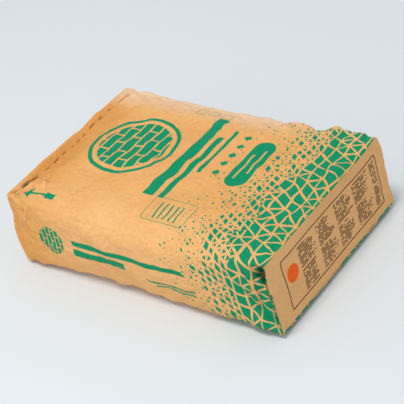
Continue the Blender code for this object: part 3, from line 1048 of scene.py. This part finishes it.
print("folds from", FOLD_NETS[-1][0], "to", FOLD_NETS[0][0], "mm apart")

# %% [markdown]
# ## Printed shapes
# The print is plain flexo ink in one green. Every printed shape is a distance, below zero
# inside the shape, so shapes join with a minimum and are cut out with a maximum. A rounded
# box is enough for bars, frames and discs: a disc is a box that is all corner.

# %% Shapes as distances
def rounded_box(add, place, middle, half_size, corner):
    """The distance to a rounded box, below 0 inside it. Its measures are in mm."""
    offset = add("VectorMath.SUBTRACT", place, (middle[0] * MM, middle[1] * MM, 0.0))
    size = add("VectorMath.ABSOLUTE", offset)
    core = [half * MM - corner * MM for half in half_size]
    past = add("VectorMath.SUBTRACT", size, (*core, 1.0))
    outside = add("VectorMath.MAXIMUM", past, (0, 0, 0))
    length = add("VectorMath.LENGTH", outside, out="Value")
    return add("Math.SUBTRACT", length, corner * MM)


def combined(add, values, operation="MINIMUM"):
    """One value out of several: MINIMUM joins distances and MAXIMUM keeps the shapes' overlap."""
    result = values[0]
    for value in values[1:]:
        result = add("Math." + operation, result, value)
    return result


def outlined(add, distance, thickness):
    """A line of a thickness in mm just inside a shape's edge."""
    inner = add("Math.ADD", distance, thickness * MM / 2)
    inner = add("Math.ABSOLUTE", inner)
    return add("Math.SUBTRACT", inner, thickness * MM / 2)


print("shapes ready")

# %% [markdown]
# ## The sack's print
# The design is a plain one of this sack's own: a disc of bricks in running bond inside a ring,
# bars, a row of diamonds, an arrow to the valve, and shards that break up from the plain end.
# The same print is repeated on the front and the back of the tube, so the place round the
# tube is wrapped once. Fine wrinkles come first: the ABSOLUTE of a noise about its middle
# value turns its slopes into ridges and sharp valleys.

# %% Print the sack
GREEN, WHITE = linear("#008f62"), (1, 1, 1, 1)
ROUND_HALF = WIDTH + HEIGHT  # the tube's front, and after it the same again for its back
WRINKLE_MM, WRINKLE_HEIGHT = 22.0, 5.0  # how far apart, and the noise is multiplied by this
FUZZ_SCALE, FUZZ = 900.0, 0.0006  # fibres make the ink's edge this rough

kraft, add, shader = new_material("printed_sack_kraft", Roughness=0.6, Specular_IOR_Level=0.08)
place, paper_colour, height = add_kraft(add, KRAFT_LIGHT, KRAFT_DARK)
wrinkles = add("TexNoise", place, None, 1000 / WRINKLE_MM, 2.0, 0.6)
wrinkles = add("Math.SUBTRACT", wrinkles, 0.5)
wrinkles = add("Math.ABSOLUTE", wrinkles)
height = add("Math.MULTIPLY_ADD", wrinkles, WRINKLE_HEIGHT, height)
sheet_place = add("VectorMath.SUBTRACT", place, (U_MIDDLE, V_MIDDLE, 0))
fuzz = add("TexNoise", place, None, FUZZ_SCALE, 1.0, 0.5, out="Color")
fuzz = add("VectorMath.SUBTRACT", fuzz, (0.5, 0.5, 0.5))
rough_place = add("VectorMath.MULTIPLY_ADD", fuzz, (FUZZ, FUZZ, 0), sheet_place)
split = add("SeparateXYZ", rough_place).node.outputs
wrapped = add("Math.WRAP", split[0], ROUND_HALF / 2, -ROUND_HALF / 2)
front = add("CombineXYZ", wrapped, split[1], 0.0)
sideways = add("Math.ABSOLUTE", split[0])
sideways = add("Math.SUBTRACT", sideways, ROUND_HALF / 2)
side = add("CombineXYZ", sideways, split[1], 0.0)
print("the print repeats every", round(ROUND_HALF, 4), "m round the tube")

# %% [markdown]
# ## Large shapes of the print
# Tables hold the middle and the half size of each bar in millimetres, from the middle of the
# front or of the side wall. The disc is cut out of a brick texture, whose joints are left bare.

# %% Large shapes of the print
DISC_AT, DISC_RADIUS = (14, 112), 58
RING_RADIUS, RING_WIDTH, BAR_CORNER = 72, 6.5, 1.2
FRONT_BARS = (((16, 14), (102, 9.5)), ((-6, -9), (80, 5.0)), ((40, -25), (54, 3.2)))
SIDE_BARS = (((-9, 12), (4.2, 98)), ((8, 64), (6.5, 46)), ((21, -58), (1.6, 42)), ((27, -66), (1.6, 34)))


def brick_disc(place, middle, radius, brick_size, joint):
    """A disc of bricks in running bond."""
    disc = rounded_box(add, place, middle, (radius, radius), radius)
    shifted = add("VectorMath.SUBTRACT", place, (middle[0] * MM, middle[1] * MM, 0.0))
    bricks = add("TexBrick", shifted, WHITE, WHITE, (0, 0, 0, 1), 1.0, joint * MM / 2,
                 0.0, 0.0, brick_size[0] * MM, brick_size[1] * MM, offset=0.5, squash=1.0, out="Fac")
    joints = add("Math.SUBTRACT", bricks, 0.5)
    return combined(add, [disc, joints], "MAXIMUM")


ring = rounded_box(add, front, DISC_AT, (RING_RADIUS, RING_RADIUS), RING_RADIUS)
shapes = [brick_disc(front, DISC_AT, DISC_RADIUS, (40, 17), 2.8), outlined(add, ring, RING_WIDTH),
          brick_disc(side, (0, 152), 23, (18, 8), 1.7)]
for where, bars in ((front, FRONT_BARS), (side, SIDE_BARS)):
    shapes += [rounded_box(add, where, middle, half_size, BAR_CORNER) for middle, half_size in bars]
print(len(shapes), "shapes,", len(kraft.node_tree.nodes), "nodes so far")

# %% [markdown]
# ## Small shapes of the print
# A badge with two gaps, a row of diamonds, a card with lines, three small squares and the
# arrow to the valve fill the rest of the sheet. A row of equal shapes is one shape whose
# coordinate starts again after each pitch, kept inside a box by a maximum.

# %% Small shapes of the print
BADGE_GAPS = (((22, -82), (30, 1.5)), ((38, -94), (28, 1.5)))
DIAMOND_Y, DIAMOND_HALF = 50 * MM, 7 * MM  # below the middle of the front
LINE_HALF = 1.4 * MM
front_x, front_y = add("SeparateXYZ", front).node.outputs[:2]


def repeated(value, middle, pitch):
    """A coordinate that starts again every pitch mm, 0 in the middle of each."""
    offset = add("Math.SUBTRACT", value, middle * MM)
    return add("Math.WRAP", offset, pitch * MM / 2, -pitch * MM / 2)


def within(middle, half_size, distance):
    """What a box of the front keeps of a shape."""
    return combined(add, [rounded_box(add, front, middle, half_size, 0.5), distance], "MAXIMUM")


badge = rounded_box(add, front, (30, -88), (56, 17), 17)
gaps = combined(add, [rounded_box(add, front, *gap, 1.4) for gap in BADGE_GAPS])
around_gaps = add("Math.MULTIPLY", gaps, -1.0)
shapes.append(combined(add, [badge, around_gaps], "MAXIMUM"))

diamond_x = add("Math.ABSOLUTE", repeated(front_x, 40, 22))
diamond_y = add("Math.ADD", front_y, DIAMOND_Y)
diamond_y = add("Math.ABSOLUTE", diamond_y)
diamond = combined(add, [diamond_x, diamond_y], "ADD")
diamond = add("Math.SUBTRACT", diamond, DIAMOND_HALF)
shapes.append(within((40, -50), (55, 9), diamond))

card = rounded_box(add, front, (-108, -40), (24, 36), 4)
shapes.append(outlined(add, card, 1.1))
lines = add("Math.ABSOLUTE", repeated(front_y, -40, 9))
lines = add("Math.SUBTRACT", lines, LINE_HALF)
shapes.append(within((-110, -40), (16, 26), lines))

column = add("CombineXYZ", front_x, repeated(front_y, 40, 24), 0.0)
squares = outlined(add, rounded_box(add, column, (128, 0), (8, 8), 1.5), 0.9)
shapes.append(within((128, 40), (12, 36), squares))
print(len(shapes), "shapes with the small ones")

# %% [markdown]
# ## The arrow to the valve
# Its head is a triangle, so it is made of slopes: how far a place is below the tip, against how
# far it is beside the middle. Two bars are its stem and its foot.

# %% The arrow to the valve
ARROW_X, ARROW_TIP, ARROW_NECK = -136, 210, 194
HEAD_SLOPE = 0.72  # half the head's width for each millimetre below its tip
ARROW_BARS = ((178, (2.1, 20), 0.5), (158, (5.5, 8), 0.8))  # place, half size and corner

beside_arrow = add("Math.SUBTRACT", front_x, ARROW_X * MM)
beside_arrow = add("Math.ABSOLUTE", beside_arrow)
below_tip = add("Math.SUBTRACT", ARROW_TIP * MM, front_y)
head = add("Math.MULTIPLY_ADD", below_tip, -HEAD_SLOPE, beside_arrow)
neck = add("Math.SUBTRACT", ARROW_NECK * MM, front_y)
shapes.append(combined(add, [head, neck], "MAXIMUM"))
for place_y, half_size, corner in ARROW_BARS:
    shapes.append(rounded_box(add, front, (ARROW_X, place_y), half_size, corner))
design = combined(add, shapes)
print(len(shapes), "shapes in", len(kraft.node_tree.nodes), "nodes")

# %% [markdown]
# ## A grid of triangles
# The shards are triangles. Two slanted coordinates count the parallelograms of a grid with
# FLOOR, and the part after the point tells which of a parallelogram's two triangles a place is
# in. White noise gives each cell a number, which joins some pairs into one shard.

# %% A grid of triangles
JOINED_SHARDS = 0.5  # this share of the pairs is one shard


def shards(add, place, side, seed):
    """Triangles, some joined in pairs. Gives the depth inside each, 0 to 1/3, and its chance."""
    slant = 1 / (side * 3 ** 0.5)
    across = add("VectorMath.DOT_PRODUCT", place, (1 / side, -slant, 0), out="Value")
    along = add("VectorMath.DOT_PRODUCT", place, (0, 2 * slant, 0), out="Value")
    grid = add("CombineXYZ", across, along)
    part = add("VectorMath.FRACTION", grid)
    cell = add("VectorMath.FLOOR", grid)
    total = add("VectorMath.DOT_PRODUCT", part, (1, 1, 0), out="Value")
    upper = add("Math.GREATER_THAN", total, 1.0)
    both = add("CombineXYZ", upper, upper, upper)
    turned = add("VectorMath.SUBTRACT", part, both)
    turned = add("VectorMath.ABSOLUTE", turned)
    split = add("SeparateXYZ", turned).node.outputs
    third = add("Math.SUBTRACT", 1.0, total)
    third = add("Math.ABSOLUTE", third)
    pair = add("VectorMath.ADD", cell, (0.5, 0.5, seed + 0.5))
    joined = add("TexWhiteNoise", pair)
    joined = add("Math.LESS_THAN", joined, JOINED_SHARDS)
    third = add("Math.ADD", third, joined)
    depth = combined(add, [split[0], split[1], third])
    upper = add("Math.GREATER_THAN", upper, joined)
    number = add("CombineXYZ", upper, upper, seed)
    number = add("VectorMath.ADD", cell, number)
    return depth, add("TexWhiteNoise", number)


print("one in", round(1 / JOINED_SHARDS), "pairs is one shard")

# %% [markdown]
# ## Shards at the plain end
# The plain end carries a band of shards that are large and close together at the fold and
# break up into specks towards the middle. The grid is bent by noise, so no two are alike.
# Three grids of falling size take turns, and the gap between the shards widens with the
# distance from the fold.

# %% Break up the shards
SHARD_GRIDS = (  # side, bend, from, to, gap at from, gap at to, chance to drop
    (21.5, 30, -1.0, 0.066, 0.034, 0.060, 0.06), (13, 18, 0.066, 0.112, 0.060, 0.16, 0.12),
    (7.5, 12, 0.112, 0.178, 0.15, 0.30, 0.30))
RAGGED_SCALE, RAGGED_BY, BEND_NOISE_SCALE = 17.0, 0.09, 15.0
CLEAR_OF_BADGE = 3.5 * MM

from_fold = add("Math.ADD", split[1], LENGTH / 2)
ragged = add("TexNoise", sheet_place, None, RAGGED_SCALE, 2.0, 0.5)
ragged = add("Math.MULTIPLY_ADD", ragged, RAGGED_BY, -RAGGED_BY / 2)
fade = combined(add, [from_fold, ragged], "ADD")
bend = add("TexNoise", sheet_place, None, BEND_NOISE_SCALE, 1.0, 0.5, out="Color")
bend = add("VectorMath.SUBTRACT", bend, (0.5, 0.5, 0.5))
shard_ink = 0.0
for side_mm, bend_mm, first, last, gap, last_gap, drop in SHARD_GRIDS:
    bent = add("VectorMath.MULTIPLY_ADD", bend, (bend_mm * MM, bend_mm * MM, 0), rough_place)
    depth, chance = shards(add, bent, side_mm * MM, side_mm)
    need = add("MapRange", fade, max(first, 0.0), last, gap, last_gap)
    need = add("Math.MULTIPLY_ADD", chance, drop, need)
    inked = add("Math.GREATER_THAN", depth, need)
    after = add("Math.GREATER_THAN", fade, first)
    before = add("Math.LESS_THAN", fade, last)
    in_band = combined(add, [after, before], "MULTIPLY")
    inked = combined(add, [inked, in_band], "MULTIPLY")
    shard_ink = add("Math.MAXIMUM", shard_ink, inked)
clear = add("Math.GREATER_THAN", badge, CLEAR_OF_BADGE)
shard_ink = combined(add, [shard_ink, clear], "MULTIPLY")
ink = add("Math.LESS_THAN", design, 0.0)
ink = combined(add, [ink, shard_ink], "MAXIMUM")
print(len(kraft.node_tree.nodes), "nodes with the shards")

# %% [markdown]
# ## Painted shade, painted sheen and worn creases
# The paper is painted darker and warmer at the valve end and on the middle of the broad sides,
# and paler along the far long edge, more than the lamps alone make it: the darker parts are
# painted shade and the paler edge is a painted sheen. Sharp creases are worn pale along their
# ridges, which also paints a highlight there. All this lies in the paper, below the ink.

# %% Paint shade and sheen, and wear the paper
PAINTED_SHADE_TINT = linear("#f4e6c6")  # painted shade, a factor for the colour, so white would change nothing
# painted sheen: the paper turns paler along the far long edge
PAINTED_SHEEN = linear("#f3ede1")
SHADE_FROM, SHADE_TO = 120 * MM, 200 * MM
# each range: where it starts and ends, and what it gives there
EDGE_UNSHADED = 85 * MM, 125 * MM, 1.0, 0.15  # less painted shade near the far edge
ARROW_AT, ARROW_UNSHADED = 130 * MM, (8 * MM, 32 * MM, 0.2, 1.0)  # and less painted shade round the arrow
MIDDLE_SHADE = 140 * MM, 80 * MM, 0.0, 0.5
SHEEN_FROM_EDGE = 100 * MM, 150 * MM, 0.0, 0.34
SHEEN_DOWN_WALL = 165 * MM, 200 * MM, 1.0, 0.0
SHEEN_OFF_SHARDS = -110 * MM, -60 * MM, 0.0, 1.0

around = add("SeparateXYZ", sheet_place)
# painted shade: darker and warmer towards the valve end and on the middle of the broad sides
shade_at_valve = add("MapRange", front_y, SHADE_FROM, SHADE_TO, 0.0, 1.0, interpolation_type="SMOOTHSTEP")
off_edge = add("MapRange", around, *EDGE_UNSHADED)
from_arrow = add("Math.ADD", around, ARROW_AT)
from_arrow = add("Math.ABSOLUTE", from_arrow)
off_arrow = add("MapRange", from_arrow, *ARROW_UNSHADED)
shade_at_valve = combined(add, [shade_at_valve, off_edge, off_arrow], "MULTIPLY")
from_middle = add("Math.ABSOLUTE", front_x)
shade_in_middle = add("MapRange", from_middle, *MIDDLE_SHADE)
painted_shade = combined(add, [shade_at_valve, shade_in_middle], "MAXIMUM")
paper_colour = add("Mix", painted_shade, *NO_VALUES, paper_colour, PAINTED_SHADE_TINT,
                   data_type="RGBA", blend_type="MULTIPLY", out=2)
# painted sheen along the far long edge, fading down the wall and towards the plain end
painted_sheen = combined(add, [add("MapRange", around, *SHEEN_FROM_EDGE),
                       add("MapRange", around, *SHEEN_DOWN_WALL),
                       add("MapRange", front_y, *SHEEN_OFF_SHARDS)], "MULTIPLY")
# worn creases with a painted highlight on their ridges
wear_and_highlight = add("Attribute", attribute_name="crease_wear_and_highlight", out="Fac")
for share_of, tint in ((painted_sheen, PAINTED_SHEEN), (wear_and_highlight, KRAFT_WORN_AND_HIGHLIGHT)):
    paper_colour = add("Mix", share_of, *NO_VALUES, paper_colour, tint, data_type="RGBA", out=2)
# where the painted shade starts, and how many creases are worn and highlighted
print("wiped from", SHADE_FROM, "m on, worn along", WORN_HIGHLIGHT_CREASES, "creases")

# %% [markdown]
# ## Ink over paper
# Flexo ink lies on the fibres and misses a few, so it covers almost all of the paper and not
# quite evenly. It is a little glossier than the paper. The shade of the folds, which the
# sculpting noted on the mesh, darkens paper and ink alike.

# %% Lay the ink on the paper
FOLD_SHADOW = linear("#4e3a2a")  # what little light comes out of a deep fold
COVER_SCALE, COVER_LEAST = 260.0, 0.98  # the ink covers this share of the paper or more
PAPER_ROUGH, INK_ROUGH = 0.6, 0.5

cover_power = add("TexNoise", place, None, COVER_SCALE, 3.0, 0.6)
cover_power = add("MapRange", cover_power, 0.3, 0.5, COVER_LEAST, 1.0)
ink = combined(add, [ink, cover_power], "MULTIPLY")
printed = add("Mix", ink, *NO_VALUES, paper_colour, GREEN, data_type="RGBA", out=2)
shade = add("Attribute", attribute_name="fold_shade", out="Fac")
shaded = add("Mix", shade, *NO_VALUES, printed, FOLD_SHADOW,
             data_type="RGBA", blend_type="MULTIPLY", out=2)
gloss = add("MapRange", ink, 0.0, 1.0, PAPER_ROUGH, INK_ROUGH)
kraft.node_tree.links.new(gloss, shader.inputs["Roughness"])
finish_paper(sack, kraft, shader, shaded, height)

# %% [markdown]
# ## Rows of short bars
# The cover on the plain end carries a thin black frame with blocks of short bars, and one
# plain orange dot. The bars come from counting: rows and columns are numbered with FLOOR, and
# each number draws its own random length.

# %% Count the bars
BARS_LOW, BLOCKS_LEFT = -36 * MM, -84 * MM
ROW_PITCH, BLOCK_PITCH, DASH_PITCH = 3.3 * MM, 50 * MM, 2.7 * MM
BAR_THICKNESS, ROWS_TO_GAP = 0.31, 11.0  # of a row's pitch, and rows in a block
BARS_DRAWN, GAP_FROM = 0.2, 0.86
BAR_ROW_LENGTH = 0.45, 0.88  # of a block's pitch, from the shortest row to the longest

cover_print, add, shader = new_material("printed_cover_kraft", Roughness=0.72, Specular_IOR_Level=0.14)
place, paper_colour, height = add_kraft(add, linear("#f1b97d"), linear("#e4ab6d"))
cover_place = add("VectorMath.SUBTRACT", place, (U_MIDDLE, V_MIDDLE, 0))
cover_x, cover_y = add("SeparateXYZ", cover_place).node.outputs[:2]


def counted(value, start, pitch):
    """The number of the step that a coordinate is in, and how far into the step it is."""
    steps = add("Math.SUBTRACT", value, start)
    steps = add("Math.DIVIDE", steps, pitch)
    number = add("Math.FLOOR", steps)
    return number, add("Math.FRACT", steps)


row, up_row = counted(cover_y, BARS_LOW, ROW_PITCH)
block_number, across_block = counted(cover_x, BLOCKS_LEFT, BLOCK_PITCH)
dash, _ = counted(cover_x, 0.0, DASH_PITCH)
_, up_block = counted(row, 0.0, ROWS_TO_GAP)
row_chance = add("TexWhiteNoise", add("CombineXYZ", row, block_number, 3.0))
dash_chance = add("TexWhiteNoise", add("CombineXYZ", row, dash, 5.0))
row_length = add("MapRange", row_chance, 0.0, 1.0, *BAR_ROW_LENGTH)
bar_area = rounded_box(add, cover_place, (22, -1), (107, 36), 1)
bars = combined(add, [add("Math.COMPARE", up_row, 0.5, BAR_THICKNESS),
                      add("Math.LESS_THAN", across_block, row_length),
                      add("Math.GREATER_THAN", dash_chance, BARS_DRAWN),
                      add("Math.LESS_THAN", up_block, GAP_FROM),
                      add("Math.LESS_THAN", bar_area, 0.0)], "MULTIPLY")
print("bars", ROW_PITCH / MM, "mm apart,", len(cover_print.node_tree.nodes), "nodes")

# %% [markdown]
# ## The cover sheets' paper
# The covers are the same kraft as the sack. The frame is an outlined box and the dot is a box
# that is all corner.

# %% Print the plain end's cover
BLACK, ORANGE = linear("#2b1d12"), linear("#fb6010")
BLACK_COVERS, ORANGE_COVERS = 0.92, 0.96
DOT_AT, DOT_RADIUS = (-104, 8), 13

frame_line = outlined(add, rounded_box(add, cover_place, (6, -1), (129, 40), 2.6), 1.9)
in_frame = add("Math.LESS_THAN", frame_line, 0.0)
black_ink = combined(add, [bars, in_frame], "MAXIMUM")
dot = rounded_box(add, cover_place, DOT_AT, (DOT_RADIUS, DOT_RADIUS), DOT_RADIUS)
orange_ink = add("Math.LESS_THAN", dot, 0.0)
for inked, power, tint in ((black_ink, BLACK_COVERS, BLACK), (orange_ink, ORANGE_COVERS, ORANGE)):
    inked = add("Math.MULTIPLY", inked, power)
    paper_colour = add("Mix", inked, *NO_VALUES, paper_colour, tint, data_type="RGBA", out=2)
finish_paper(plain_cover, cover_print, shader, paper_colour, height)

# %% [markdown]
# ## Papers without print
# The sheet over the valve end is the covers' kraft with nothing printed on it. The sleeve is
# of a darker and rougher kraft.

# %% Papers without print
BARE_PAPERS = (  # piece, name, light and dark colour, roughness, specular level
    (valve_cover, "pasted_cover_kraft", "#f1b97d", "#e4ab6d", 0.72, 0.14),
    (sleeve, "unprinted_sleeve_kraft", "#dfae78", "#cf9a60", 0.75, 0.2))
for piece, name, light, dark, roughness, specular in BARE_PAPERS:
    bare, add, shader = new_material(name, Roughness=roughness, Specular_IOR_Level=specular)
    _, paper_colour, height = add_kraft(add, linear(light), linear(dark))
    finish_paper(piece, bare, shader, paper_colour, height)
